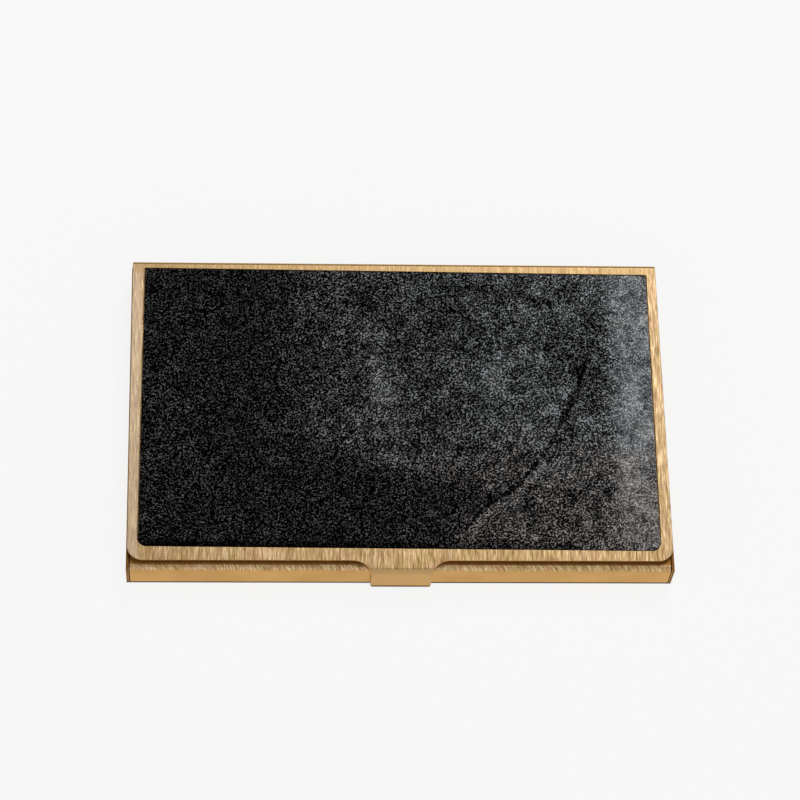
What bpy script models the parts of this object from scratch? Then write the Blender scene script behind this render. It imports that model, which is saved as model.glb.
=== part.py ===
"""A slim flip-top card holder: a tray and a lid folded from brass sheet, with a leather panel let into the lid.

Inside the case a card lifter swings on the lid's own hinge pins, and two torsion springs push it up as the
lid opens.

+X runs along the hinge, +Y points from the front to the hinge and +Z is up. The origin is the middle of the
underside, and every length is in metres.
"""

import math

import bmesh
import bpy

MM = 0.001

# The tray: a floor, two side walls, a low rear lip and a boxed front rail, all one sheet
TRAY_SHEET = 0.5 * MM
TRAY_HALF_WIDTH = 47.5 * MM
TRAY_FRONT = -29.65 * MM
TRAY_TOP = 5.4 * MM
FOOT_BEND = 0.6 * MM
RAIL_TOP_BEND = 0.9 * MM
RAIL_DEPTH = 3.3 * MM
RAIL_BACK_BEND = 0.7 * MM
RAIL_FREE_EDGE = 2.2 * MM
CORNER_SEAM = 0.15 * MM
WALL_SETBACK = 0.05 * MM
REAR_LIP_FACE = 30.45 * MM
REAR_LIP_TOP = 0.9 * MM
REAR_LIP_HALF_WIDTH = 46.5 * MM
SHEET_CORNER = 0.4 * MM

# The hinge that the lid and the lifter share
HINGE_Y = 28.5 * MM
HINGE_Z = 3.4 * MM
PIN_RADIUS = 0.7 * MM
PIN_INNER_END = 42.75 * MM
PIN_OUTER_END = 47.45 * MM
PIN_CHAMFER = 0.1 * MM
CLIP_START = 43.05 * MM
CLIP_WIDTH = 0.25 * MM
CLIP_RADIUS = 1.2 * MM
GROOVE_RADIUS = 0.5 * MM
BORE_RADIUS = 0.78 * MM
WASHER_RADIUS = 1.3 * MM
WALL_REAR_RADIUS = 2.0 * MM
WALL_REAR_SETBACK = 1.3 * MM

# The lid: a plate with a folded tongue in front, and a folded flange with two hinge ears behind
LID_SHEET = 0.7 * MM
LID_HALF_WIDTH = 47.35 * MM
LID_FRONT = -28.05 * MM
LID_REAR = 30.55 * MM
LID_TOP = 6.25 * MM
LID_CORNER = 2.7 * MM
LID_REAR_BEND = 1.0 * MM
FLANGE_TIP = 1.57 * MM
TONGUE_HALF_WIDTH = 5.25 * MM
TONGUE_FILLET = 3.2 * MM
TONGUE_FACE = -30.55 * MM
TONGUE_BEND = 1.2 * MM
TONGUE_TIP = 0.4 * MM
TONGUE_CORNER = 0.5 * MM
EAR_FACE = 46.7 * MM
EAR_BEND = 0.8 * MM
EAR_RADIUS = 1.4 * MM
NOTCH_INNER = 43.2 * MM
NOTCH_TOP = 3.6 * MM

# The leather panel, its pocket in the lid and the adhesive film under it
POCKET_DEPTH = 0.35 * MM
POCKET_HALF_WIDTH = 45.45 * MM
POCKET_FRONT = -25.8 * MM
POCKET_REAR = 28.7 * MM
POCKET_FRONT_CORNER = 1.6 * MM
POCKET_REAR_CORNER = 0.3 * MM
PANEL_GAP = 0.12 * MM
PANEL_TOP = 6.55 * MM
PANEL_BOTTOM = 6.03 * MM
PANEL_EDGE_ROLL = 0.25 * MM
FILM_INSET = 1.0 * MM
FILM_BOTTOM = 5.93 * MM
FILM_TOP = 6.0 * MM

# The card lifter: a plate with a low front lip, side flanges and two arms that end on the hinge pins
LIFTER_SHEET = 0.4 * MM
LIFTER_BOTTOM = 0.65 * MM
LIFTER_FACE = 45.7 * MM
LIFTER_BEND = 0.6 * MM
LIFTER_FRONT = -25.9 * MM
LIFTER_REAR = 25.5 * MM
LIFTER_LIP_HALF_WIDTH = 44.4 * MM
LIFTER_SIDE_TOP = 2.0 * MM
ARM_RISE_START = 18.5 * MM
ARM_RISE_END = 24.0 * MM
ARM_ROOT = 21.5 * MM
ARM_UNDERSIDE = 2.6 * MM
ARM_UNDERSIDE_START = 22.6 * MM
LIFTER_EAR_RADIUS = 1.1 * MM

# The torsion springs, each wound round a pin beside a lifter ear
WIRE_RADIUS = 0.15 * MM
COIL_RADIUS = 1.0 * MM
COIL_INNER_END = 43.62 * MM
COIL_OUTER_END = 45.03 * MM
COIL_TURNS = 3
FLOOR_LEG_ANGLE = 153.3
FLOOR_LEG_LENGTH = 3.5 * MM
ARM_LEG_SPLAY = 45.5 * MM
ARM_LEG_REACH = 5.4 * MM
POINTS_PER_TURN = 20

# How finely round shapes are cut into flats
BEND_STEP = 22.5
ROUND_STEPS = 32
CORNER_STEPS = 6


def clear_scene():
    """Start from an empty scene."""
    for item in list(bpy.data.objects):
        bpy.data.objects.remove(item, do_unlink=True)


def material(name, color, roughness, metallic):
    """A plain Principled material."""
    made = bpy.data.materials.new(name)
    made.use_nodes = True
    shader = made.node_tree.nodes["Principled BSDF"]
    shader.inputs["Base Color"].default_value = (*color, 1.0)
    shader.inputs["Roughness"].default_value = roughness
    shader.inputs["Metallic"].default_value = metallic
    return made


def empty(name, location):
    """An empty that marks a joint's axis and carries what turns on it."""
    made = bpy.data.objects.new(name, None)
    made.location = location
    made.empty_display_size = 5 * MM
    bpy.context.collection.objects.link(made)
    return made


def add_object(name, data, finish, pivot=None):
    """Link a piece drawn in world coordinates, hung on its pivot if it has one."""
    made = bpy.data.objects.new(name, data)
    data.materials.append(finish)
    bpy.context.collection.objects.link(made)
    if pivot is not None:
        made.parent = pivot
        made.matrix_parent_inverse.identity()
        made.location = -pivot.location
    return made


def mesh_object(name, shape, finish, pivot=None):
    """Turn a bmesh into a linked object."""
    data = bpy.data.meshes.new(name)
    shape.to_mesh(data)
    shape.free()
    return add_object(name, data, finish, pivot)


def smooth(item, degrees=30.0):
    """Shade a round piece smooth and keep its real edges sharp."""
    item.data.shade_smooth()
    item.data.set_sharp_from_angle(angle=math.radians(degrees))


def arc(center, radius, start, end, steps=CORNER_STEPS):
    """Points round an arc, from start to end in degrees."""
    points = []
    for index in range(steps + 1):
        angle = math.radians(start + (end - start) * index / steps)
        points.append((center[0] + radius * math.cos(angle), center[1] + radius * math.sin(angle)))
    return points


def mirrored(half_outline):
    """A whole outline from its right half, which runs from the front middle to the rear middle."""
    left_half = [(-x, y) for x, y in reversed(half_outline) if x > 0]
    return half_outline + left_half


def fold_path(start, *runs):
    """Follow a strip of sheet away from start, level at first and curling up with each bend.

    A run is a flat length or a (radius, degrees) bend. A knot is (distance along the sheet, across, up).
    """
    distance = 0.0
    heading = 0.0
    across, up = start
    knots = [(distance, across, up)]
    for run in runs:
        if isinstance(run, tuple):
            radius, degrees = run
            steps = round(degrees / BEND_STEP)
            turn = math.radians(degrees) / steps
            advance = 2 * radius * math.sin(turn / 2)
            travelled = radius * turn
        else:
            steps = 1
            turn = 0.0
            advance = run
            travelled = run
        for _ in range(steps):
            heading += turn / 2
            across += advance * math.cos(heading)
            up += advance * math.sin(heading)
            heading += turn / 2
            distance += travelled
            knots.append((distance, across, up))
    return knots


def along(knots, distance):
    """The (across, up) place of a point that lies this far along a folded strip."""
    for before, after in zip(knots, knots[1:]):
        if distance <= after[0]:
            share = (distance - before[0]) / (after[0] - before[0])
            return before[1] + share * (after[1] - before[1]), before[2] + share * (after[2] - before[2])
    return knots[-1][1], knots[-1][2]


def score_lines(knots):
    """The distances at which a strip has to be scored before it is folded."""
    return [knot[0] for knot in knots[:-1]]


def folded_sheet(half_outline, score_x, score_y, fold, outside_down):
    """Cut a symmetric blank, score it where it bends, and fold it into its outer surface."""
    shape = bmesh.new()
    outline = mirrored(half_outline)
    if outside_down:
        outline.reverse()
    shape.faces.new([shape.verts.new((x, y, 0.0)) for x, y in outline])
    cuts = [((side * x, 0.0, 0.0), (1.0, 0.0, 0.0)) for x in score_x for side in (-1, 1)]
    cuts += [((0.0, y, 0.0), (0.0, 1.0, 0.0)) for y in score_y]
    for point, normal in cuts:
        parts = shape.verts[:] + shape.edges[:] + shape.faces[:]
        bmesh.ops.bisect_plane(shape, geom=parts, dist=1e-7, plane_co=point, plane_no=normal)
    for vert in shape.verts:
        vert.co = fold(vert.co.x, vert.co.y)
    return shape


def thicken(item, sheet):
    """Give a folded surface its sheet's thickness, on the inside."""
    solidify = item.modifiers.new("sheet", "SOLIDIFY")
    solidify.thickness = sheet
    solidify.offset = -1.0
    solidify.use_even_offset = True
    solidify.use_quality_normals = True


def cut(item, cutter):
    """Take a cutter out of a piece."""
    boolean = item.modifiers.new(cutter.name, "BOOLEAN")
    boolean.operation = "DIFFERENCE"
    boolean.solver = "EXACT"
    boolean.object = cutter


def slab(outline, low, high):
    """An outline in X and Y, made solid between two heights."""
    shape = bmesh.new()
    face = shape.faces.new([shape.verts.new((x, y, low)) for x, y in outline])
    raised = bmesh.ops.extrude_face_region(shape, geom=[face])["geom"]
    top = [part for part in raised if isinstance(part, bmesh.types.BMVert)]
    bmesh.ops.translate(shape, verts=top, vec=(0.0, 0.0, high - low))
    bmesh.ops.recalc_face_normals(shape, faces=shape.faces)
    return shape


def turned(profile, side=1):
    """Spin a closed profile of (distance along X, radius) points round the hinge axis."""
    shape = bmesh.new()
    verts = [shape.verts.new((side * x, HINGE_Y, HINGE_Z + radius)) for x, radius in profile]
    for start, end in zip(verts, verts[1:] + verts[:1]):
        shape.edges.new((start, end))
    bmesh.ops.spin(
        shape,
        geom=shape.verts[:] + shape.edges[:],
        cent=(0.0, HINGE_Y, HINGE_Z),
        axis=(1.0, 0.0, 0.0),
        angle=2 * math.pi,
        steps=ROUND_STEPS,
        use_merge=True,
    )
    bmesh.ops.remove_doubles(shape, verts=shape.verts, dist=1e-7)
    on_axis = [edge for edge in shape.edges if not edge.link_faces]
    bmesh.ops.delete(shape, geom=on_axis, context="EDGES")
    bmesh.ops.recalc_face_normals(shape, faces=shape.faces)
    return shape


def cutter_object(name, shape):
    """A hidden cutter."""
    data = bpy.data.meshes.new(name)
    shape.to_mesh(data)
    shape.free()
    made = bpy.data.objects.new(name, data)
    bpy.context.collection.objects.link(made)
    made.hide_render = True
    made.display_type = "WIRE"
    return made


# Each blank folds along these strips, which start where a flat stops and its first bend begins.
FLOOR_SIDE = TRAY_HALF_WIDTH - FOOT_BEND
FLOOR_FRONT = TRAY_FRONT + FOOT_BEND
FLOOR_REAR = REAR_LIP_FACE - FOOT_BEND
SIDE_WALL = fold_path((FLOOR_SIDE, 0.0), (FOOT_BEND, 90), TRAY_TOP - FOOT_BEND)
REAR_LIP = fold_path((FLOOR_REAR, 0.0), (FOOT_BEND, 90), REAR_LIP_TOP - FOOT_BEND)
FRONT_RAIL = fold_path(
    (-FLOOR_FRONT, 0.0),
    (FOOT_BEND, 90),
    TRAY_TOP - FOOT_BEND - RAIL_TOP_BEND,
    (RAIL_TOP_BEND, 90),
    RAIL_DEPTH - RAIL_TOP_BEND - RAIL_BACK_BEND,
    (RAIL_BACK_BEND, 90),
    TRAY_TOP - RAIL_BACK_BEND - RAIL_FREE_EDGE,
)

TONGUE_START = TONGUE_FACE + TONGUE_BEND
FLANGE_START = LID_REAR - LID_REAR_BEND
EAR_START = EAR_FACE - EAR_BEND
TONGUE = fold_path((-TONGUE_START, 0.0), (TONGUE_BEND, 90), LID_TOP - TONGUE_BEND - TONGUE_TIP)
FLANGE = fold_path((FLANGE_START, 0.0), (LID_REAR_BEND, 90), LID_TOP - LID_REAR_BEND - FLANGE_TIP)
EAR = fold_path((EAR_START, 0.0), (EAR_BEND, 90), LID_REAR - EAR_BEND - HINGE_Y + EAR_RADIUS)

LIFTER_SIDE = LIFTER_FACE - LIFTER_BEND
LIFTER_LIP_START = LIFTER_FRONT + LIFTER_BEND
LIFTER_WALL = fold_path(
    (LIFTER_SIDE, 0.0), (LIFTER_BEND, 90), HINGE_Z + LIFTER_EAR_RADIUS - LIFTER_BOTTOM - LIFTER_BEND
)
LIFTER_LIP = fold_path(
    (-LIFTER_LIP_START, 0.0), (LIFTER_BEND, 90), LIFTER_SIDE_TOP - LIFTER_BOTTOM - LIFTER_BEND
)


def distance_at_height(knots, height):
    """How far along a strip, once past its first bend, the sheet reaches this height above its start."""
    end_distance, _, end_up = knots[-1]
    return end_distance - (end_up - height)


def fold_tray(u, v):
    """Fold one point of the tray's blank."""
    if abs(u) > FLOOR_SIDE:
        across, up = along(SIDE_WALL, abs(u) - FLOOR_SIDE)
        return math.copysign(across, u), v, up
    if v < FLOOR_FRONT:
        across, up = along(FRONT_RAIL, FLOOR_FRONT - v)
        return u, -across, up
    if v > FLOOR_REAR:
        across, up = along(REAR_LIP, v - FLOOR_REAR)
        return u, across, up
    return u, v, 0.0


def fold_lid(u, v):
    """Fold one point of the lid's blank, whose ears fold again from its rear flange."""
    across, drop = v, 0.0
    if v < TONGUE_START:
        front, drop = along(TONGUE, TONGUE_START - v)
        across = -front
    elif v > FLANGE_START:
        across, drop = along(FLANGE, v - FLANGE_START)
    flange_flat = LID_TOP - drop < HINGE_Z + EAR_RADIUS + SHEET_CORNER / 2
    if v > FLANGE_START and flange_flat and abs(u) > EAR_START:
        side, inward = along(EAR, abs(u) - EAR_START)
        return math.copysign(side, u), across - inward, LID_TOP - drop
    return u, across, LID_TOP - drop


def fold_lifter(u, v):
    """Fold one point of the lifter's blank."""
    if abs(u) > LIFTER_SIDE:
        across, up = along(LIFTER_WALL, abs(u) - LIFTER_SIDE)
        return math.copysign(across, u), v, LIFTER_BOTTOM + up
    if v < LIFTER_LIP_START:
        across, up = along(LIFTER_LIP, LIFTER_LIP_START - v)
        return u, -across, LIFTER_BOTTOM + up
    return u, v, LIFTER_BOTTOM


def tray_blank():
    """The right half of the tray's flat blank."""
    rail_side = TRAY_HALF_WIDTH - TRAY_SHEET - CORNER_SEAM
    rail_end = FLOOR_FRONT - FRONT_RAIL[-1][0]
    wall_front = TRAY_FRONT + WALL_SETBACK
    wall_top = FLOOR_SIDE + SIDE_WALL[-1][0]
    pivot = FLOOR_SIDE + distance_at_height(SIDE_WALL, HINGE_Z)
    rear_angle = math.degrees(math.acos(WALL_REAR_SETBACK / WALL_REAR_RADIUS))
    wall_rear = HINGE_Y + WALL_REAR_SETBACK
    lip_end = FLOOR_REAR + REAR_LIP[-1][0]
    # The wall's rear end is round about the pivot: up the blank is across it here, so the arc runs backwards
    rear_end = arc((pivot, HINGE_Y), WALL_REAR_RADIUS, 0, 90 + rear_angle, 4 * CORNER_STEPS)
    return [
        (0.0, rail_end),
        (rail_side - SHEET_CORNER, rail_end),
        (rail_side, rail_end + SHEET_CORNER),
        (rail_side, FLOOR_FRONT - WALL_SETBACK),
        (FLOOR_SIDE, FLOOR_FRONT),
        (FLOOR_SIDE + SHEET_CORNER / 2, wall_front),
        *arc((wall_top - SHEET_CORNER, wall_front + SHEET_CORNER), SHEET_CORNER, -90, 0),
        *rear_end,
        (FLOOR_SIDE, wall_rear),
        (REAR_LIP_HALF_WIDTH, FLOOR_REAR),
        (REAR_LIP_HALF_WIDTH, lip_end - SHEET_CORNER / 2),
        (REAR_LIP_HALF_WIDTH - SHEET_CORNER / 2, lip_end),
        (0.0, lip_end),
    ]


def lid_blank():
    """The right half of the lid's flat blank."""
    tongue_end = TONGUE_START - TONGUE[-1][0]
    fillet = (TONGUE_HALF_WIDTH + TONGUE_FILLET, LID_FRONT - TONGUE_FILLET)
    corner = (LID_HALF_WIDTH - LID_CORNER, LID_FRONT + LID_CORNER)
    bend_end = FLANGE_START + FLANGE[-2][0]
    pivot_down = FLANGE_START + distance_at_height(FLANGE, LID_TOP - HINGE_Z)
    pivot_across = EAR_START + distance_at_height(EAR, LID_REAR - HINGE_Y)
    notch_top = FLANGE_START + distance_at_height(FLANGE, LID_TOP - NOTCH_TOP)
    flange_end = FLANGE_START + FLANGE[-1][0]
    return [
        (0.0, tongue_end),
        *arc((TONGUE_HALF_WIDTH - TONGUE_CORNER, tongue_end + TONGUE_CORNER), TONGUE_CORNER, -90, 0),
        *arc(fillet, TONGUE_FILLET, 180, 90, 2 * CORNER_STEPS),
        *arc(corner, LID_CORNER, -90, 0, 2 * CORNER_STEPS),
        (LID_HALF_WIDTH, bend_end),
        (EAR_START, bend_end),
        (EAR_START, pivot_down - EAR_RADIUS),
        *arc((pivot_across, pivot_down), EAR_RADIUS, -90, 90, 4 * CORNER_STEPS),
        (EAR_START, pivot_down + EAR_RADIUS),
        (EAR_START, notch_top),
        (NOTCH_INNER, notch_top),
        (NOTCH_INNER, flange_end - SHEET_CORNER),
        (NOTCH_INNER - SHEET_CORNER, flange_end),
        (0.0, flange_end),
    ]


def lifter_blank():
    """The right half of the lifter's flat blank."""

    def wall(height):
        return LIFTER_SIDE + distance_at_height(LIFTER_WALL, height - LIFTER_BOTTOM)

    lip_end = LIFTER_LIP_START - LIFTER_LIP[-1][0]
    side_top = wall(LIFTER_SIDE_TOP)
    underside_angle = 180 + math.degrees(math.acos((HINGE_Z - ARM_UNDERSIDE) / LIFTER_EAR_RADIUS))
    ear = arc((wall(HINGE_Z), HINGE_Y), LIFTER_EAR_RADIUS, 0, underside_angle, 4 * CORNER_STEPS)
    return [
        (0.0, lip_end),
        (LIFTER_LIP_HALF_WIDTH - SHEET_CORNER, lip_end),
        (LIFTER_LIP_HALF_WIDTH, lip_end + SHEET_CORNER),
        (LIFTER_LIP_HALF_WIDTH, LIFTER_LIP_START),
        (LIFTER_SIDE, LIFTER_LIP_START + SHEET_CORNER),
        (side_top - SHEET_CORNER, LIFTER_LIP_START + SHEET_CORNER),
        (side_top, LIFTER_LIP_START + 2 * SHEET_CORNER),
        (side_top, ARM_RISE_START),
        (wall(HINGE_Z + LIFTER_EAR_RADIUS), ARM_RISE_END),
        *ear,
        (wall(ARM_UNDERSIDE), ARM_UNDERSIDE_START),
        (LIFTER_SIDE + LIFTER_WALL[-2][0], ARM_ROOT),
        (LIFTER_SIDE, ARM_ROOT),
        (LIFTER_SIDE, LIFTER_REAR - SHEET_CORNER),
        (LIFTER_SIDE - SHEET_CORNER, LIFTER_REAR),
        (0.0, LIFTER_REAR),
    ]


def pocket_outline(inset):
    """The pocket's outline, or one inside it: square behind and rounded in front."""
    side = POCKET_HALF_WIDTH - inset
    front = POCKET_FRONT + inset
    rear = POCKET_REAR - inset
    front_corner = max(POCKET_FRONT_CORNER - inset, POCKET_REAR_CORNER)
    rear_corner = POCKET_REAR_CORNER
    right = [(0.0, front)]
    right += arc((side - front_corner, front + front_corner), front_corner, -90, 0)
    right += arc((side - rear_corner, rear - rear_corner), rear_corner, 0, 90, CORNER_STEPS // 2)
    right += [(0.0, rear)]
    return mirrored(right)


def make_tray(finish, bore):
    """The tray: floor, side walls, rear lip and boxed front rail."""
    shape = folded_sheet(
        tray_blank(),
        [FLOOR_SIDE + distance for distance in score_lines(SIDE_WALL)],
        [FLOOR_FRONT - distance for distance in score_lines(FRONT_RAIL)]
        + [FLOOR_REAR + distance for distance in score_lines(REAR_LIP)],
        fold_tray,
        outside_down=True,
    )
    tray = mesh_object("tray_shell", shape, finish)
    thicken(tray, TRAY_SHEET)
    cut(tray, bore)
    smooth(tray)


def make_lid(finish, bore, pivot):
    """The lid's folded shell, with the pocket for its panel."""
    shape = folded_sheet(
        lid_blank(),
        [EAR_START + distance for distance in score_lines(EAR)],
        [TONGUE_START - distance for distance in score_lines(TONGUE)]
        + [FLANGE_START + distance for distance in score_lines(FLANGE)],
        fold_lid,
        outside_down=False,
    )
    pocket = cutter_object("pocket_cutter", slab(pocket_outline(0.0), LID_TOP - POCKET_DEPTH, LID_TOP + MM))
    pocket.parent = pivot
    pocket.location = -pivot.location
    lid = mesh_object("lid_shell", shape, finish, pivot)
    thicken(lid, LID_SHEET)
    cut(lid, bore)
    cut(lid, pocket)
    smooth(lid)


def make_panel(leather, film_finish, pivot):
    """The leather panel, rolled over at its edge, and the adhesive film that holds it."""
    shape = slab(pocket_outline(PANEL_GAP), PANEL_BOTTOM, PANEL_TOP)
    rim = [edge for edge in shape.edges if all(vert.co.z > PANEL_TOP - MM / 100 for vert in edge.verts)]
    bmesh.ops.bevel(
        shape, geom=rim, offset=PANEL_EDGE_ROLL, segments=3, profile=0.5, affect="EDGES", clamp_overlap=True
    )
    panel = mesh_object("lid_inlay", shape, leather, pivot)
    smooth(panel)
    film = slab(pocket_outline(FILM_INSET), FILM_BOTTOM, FILM_TOP)
    mesh_object("inlay_adhesive", film, film_finish, pivot)


def make_lifter(finish, bore, pivot):
    """The plate that raises the cards, with its lip, flanges and hinge arms."""
    shape = folded_sheet(
        lifter_blank(),
        [LIFTER_SIDE + distance for distance in score_lines(LIFTER_WALL)],
        [LIFTER_LIP_START - distance for distance in score_lines(LIFTER_LIP)],
        fold_lifter,
        outside_down=True,
    )
    lifter = mesh_object("card_lifter", shape, finish, pivot)
    thicken(lifter, LIFTER_SHEET)
    cut(lifter, bore)
    smooth(lifter)


def make_pin(name, side, finish):
    """A hinge pin, flush in the tray's wall, grooved for its clip at the inner end."""
    groove_end = CLIP_START + CLIP_WIDTH + PIN_CHAMFER
    groove_start = CLIP_START - PIN_CHAMFER / 2
    shape = turned(
        [
            (PIN_INNER_END, 0.0),
            (PIN_INNER_END, PIN_RADIUS - PIN_CHAMFER),
            (PIN_INNER_END + PIN_CHAMFER, PIN_RADIUS),
            (groove_start, PIN_RADIUS),
            (groove_start, GROOVE_RADIUS),
            (groove_end, GROOVE_RADIUS),
            (groove_end, PIN_RADIUS),
            (PIN_OUTER_END - PIN_CHAMFER, PIN_RADIUS),
            (PIN_OUTER_END, PIN_RADIUS - PIN_CHAMFER),
            (PIN_OUTER_END, 0.0),
        ],
        side,
    )
    smooth(mesh_object(name, shape, finish))


def make_washer(name, side, low, high, finish, pivot=None):
    """A flat washer on the hinge axis, between two distances from the middle."""
    ring = [(low, BORE_RADIUS), (low, WASHER_RADIUS), (high, WASHER_RADIUS), (high, BORE_RADIUS)]
    smooth(mesh_object(name, turned(ring, side), finish, pivot))


def make_clip(name, side, finish):
    """An open retaining ring in the pin's groove."""
    outline = arc((HINGE_Y, HINGE_Z), CLIP_RADIUS, 120, 420, 4 * CORNER_STEPS)
    outline += arc((HINGE_Y, HINGE_Z), GROOVE_RADIUS + PIN_CHAMFER / 2, 420, 120, 4 * CORNER_STEPS)
    shape = bmesh.new()
    face = shape.faces.new([shape.verts.new((side * CLIP_START, y, z)) for y, z in outline])
    raised = bmesh.ops.extrude_face_region(shape, geom=[face])["geom"]
    moved = [part for part in raised if isinstance(part, bmesh.types.BMVert)]
    bmesh.ops.translate(shape, verts=moved, vec=(side * CLIP_WIDTH, 0.0, 0.0))
    bmesh.ops.recalc_face_normals(shape, faces=shape.faces)
    mesh_object(name, shape, finish)


def spring_path(side):
    """A torsion spring's centre line: up from the floor, round the pin, and forward under a lifter arm."""
    start = math.radians(FLOOR_LEG_ANGLE)
    end = math.radians(-90 - 360 * COIL_TURNS)
    steps = round(POINTS_PER_TURN * (start - end) / (2 * math.pi))
    points = []
    for index in range(steps + 1):
        share = index / steps
        angle = start + share * (end - start)
        x = COIL_INNER_END + share * (COIL_OUTER_END - COIL_INNER_END)
        points.append((x, HINGE_Y + COIL_RADIUS * math.cos(angle), HINGE_Z + COIL_RADIUS * math.sin(angle)))
    leg_foot = (
        COIL_INNER_END,
        points[0][1] - FLOOR_LEG_LENGTH * math.sin(start),
        points[0][2] + FLOOR_LEG_LENGTH * math.cos(start),
    )
    arm_level = HINGE_Z - COIL_RADIUS
    splay_y = HINGE_Y - LIFTER_EAR_RADIUS - 4 * WIRE_RADIUS
    arm_leg = [
        (COIL_OUTER_END + WIRE_RADIUS / 3, HINGE_Y - LIFTER_EAR_RADIUS, arm_level),
        (ARM_LEG_SPLAY, splay_y, arm_level),
        (ARM_LEG_SPLAY, HINGE_Y - ARM_LEG_REACH, arm_level),
    ]
    return [(side * x, y, z) for x, y, z in [leg_foot, *points, *arm_leg]]


def make_spring(name, side, finish):
    """A torsion spring in round wire."""
    path = spring_path(side)
    data = bpy.data.curves.new(name, "CURVE")
    data.dimensions = "3D"
    data.bevel_depth = WIRE_RADIUS
    data.bevel_resolution = 2
    data.use_fill_caps = True
    spline = data.splines.new("POLY")
    spline.points.add(len(path) - 1)
    for point, place in zip(spline.points, path):
        point.co = (*place, 1.0)
    add_object(name, data, finish)


def make_hinge_side(name, side, steel, nylon, lifter_pivot):
    """The pin, clip, washers and spring at one end of the hinge."""
    play = 0.06 * MM
    wall = TRAY_HALF_WIDTH - TRAY_SHEET
    ear_inner = EAR_FACE - LID_SHEET
    make_pin("hinge_pin_" + name, side, steel)
    make_clip("pin_clip_" + name, side, steel)
    make_washer("hinge_washer_" + name, side, EAR_FACE + play, wall - play, nylon)
    make_washer("lifter_washer_" + name, side, LIFTER_FACE + play, ear_inner - play, nylon, lifter_pivot)
    make_spring("lifter_spring_" + name, side, steel)


def make_bore():
    """One long cutter that drills every hole on the hinge axis."""
    reach = TRAY_HALF_WIDTH + MM
    return cutter_object(
        "bore_cutter", turned([(-reach, 0.0), (-reach, BORE_RADIUS), (reach, BORE_RADIUS), (reach, 0.0)])
    )


def main():
    clear_scene()
    hinge = (0.0, HINGE_Y, HINGE_Z)
    lid_pivot = empty("lid_pivot", hinge)
    lifter_pivot = empty("lifter_pivot", hinge)
    brass = material("brushed_brass", (0.60, 0.40, 0.20), 0.38, 1.0)
    inner_brass = material("inner_brass", (0.58, 0.40, 0.21), 0.45, 1.0)
    leather = material("black_leather", (0.02, 0.02, 0.022), 0.6, 0.0)
    film_finish = material("adhesive_film", (0.75, 0.72, 0.62), 0.7, 0.0)
    steel = material("spring_steel", (0.55, 0.55, 0.56), 0.35, 1.0)
    nylon = material("washer_nylon", (0.80, 0.79, 0.75), 0.6, 0.0)
    bore = make_bore()
    make_tray(brass, bore)
    make_lid(brass, bore, lid_pivot)
    make_panel(leather, film_finish, lid_pivot)
    make_lifter(inner_brass, bore, lifter_pivot)
    for name, side in (("left", -1), ("right", 1)):
        make_hinge_side(name, side, steel, nylon, lifter_pivot)


main()
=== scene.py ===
"""The looks of the card holder: finely folded brushed brass, a grained leather panel and the hinge parts.

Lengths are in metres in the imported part's frame: +X along the hinge, +Y to the rear, +Z up.
"""

import math

import bmesh
import bpy
import numpy as np
from mathutils import Matrix, Vector, noise


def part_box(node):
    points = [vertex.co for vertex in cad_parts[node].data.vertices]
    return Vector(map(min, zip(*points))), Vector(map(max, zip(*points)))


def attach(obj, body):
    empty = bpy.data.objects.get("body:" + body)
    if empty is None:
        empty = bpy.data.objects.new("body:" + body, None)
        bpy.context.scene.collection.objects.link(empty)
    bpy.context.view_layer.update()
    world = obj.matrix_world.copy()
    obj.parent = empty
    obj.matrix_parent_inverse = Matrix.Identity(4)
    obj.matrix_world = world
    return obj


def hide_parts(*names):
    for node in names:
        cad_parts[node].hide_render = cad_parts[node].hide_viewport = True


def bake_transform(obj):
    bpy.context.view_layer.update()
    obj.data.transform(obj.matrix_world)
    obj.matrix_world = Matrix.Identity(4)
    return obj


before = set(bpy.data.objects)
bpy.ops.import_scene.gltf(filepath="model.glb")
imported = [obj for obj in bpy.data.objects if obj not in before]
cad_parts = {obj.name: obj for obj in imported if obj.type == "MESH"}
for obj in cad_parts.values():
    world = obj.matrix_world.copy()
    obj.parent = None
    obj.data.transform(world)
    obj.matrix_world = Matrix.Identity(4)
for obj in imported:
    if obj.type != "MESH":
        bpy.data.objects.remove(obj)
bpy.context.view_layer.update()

MM = 0.001

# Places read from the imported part
TRAY_LOW, TRAY_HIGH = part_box("tray_shell")
LID_LOW, LID_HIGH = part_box("lid_shell")
PANEL_LOW, PANEL_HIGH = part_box("lid_inlay")
LIFTER_LOW, LIFTER_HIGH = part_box("card_lifter")
FILM_LOW, FILM_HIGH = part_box("inlay_adhesive")
PIN_LOW, PIN_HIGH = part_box("hinge_pin_right")
CLIP_LOW, CLIP_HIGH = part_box("pin_clip_right")
HINGE_Y = (PIN_LOW.y + PIN_HIGH.y) / 2
HINGE_Z = (PIN_LOW.z + PIN_HIGH.z) / 2

# The tray
TRAY_SHEET = 0.5 * MM
TRAY_HALF_WIDTH = TRAY_HIGH.x
TRAY_FRONT = TRAY_LOW.y
TRAY_TOP = TRAY_HIGH.z
FOOT_BEND = 0.6 * MM
RAIL_TOP_BEND = 0.9 * MM
RAIL_DEPTH = 3.3 * MM
RAIL_BACK_BEND = 0.7 * MM
RAIL_FREE_EDGE = 2.2 * MM
CORNER_SEAM = 0.15 * MM
WALL_SETBACK = 0.05 * MM
WALL_REAR_RADIUS = TRAY_HIGH.y - HINGE_Y
WALL_REAR_SETBACK = 1.3 * MM
REAR_LIP_FACE = TRAY_HIGH.y - 0.05 * MM
REAR_LIP_TOP = 0.9 * MM
REAR_LIP_HALF_WIDTH = 46.5 * MM
SHEET_CORNER = 0.4 * MM

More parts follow.
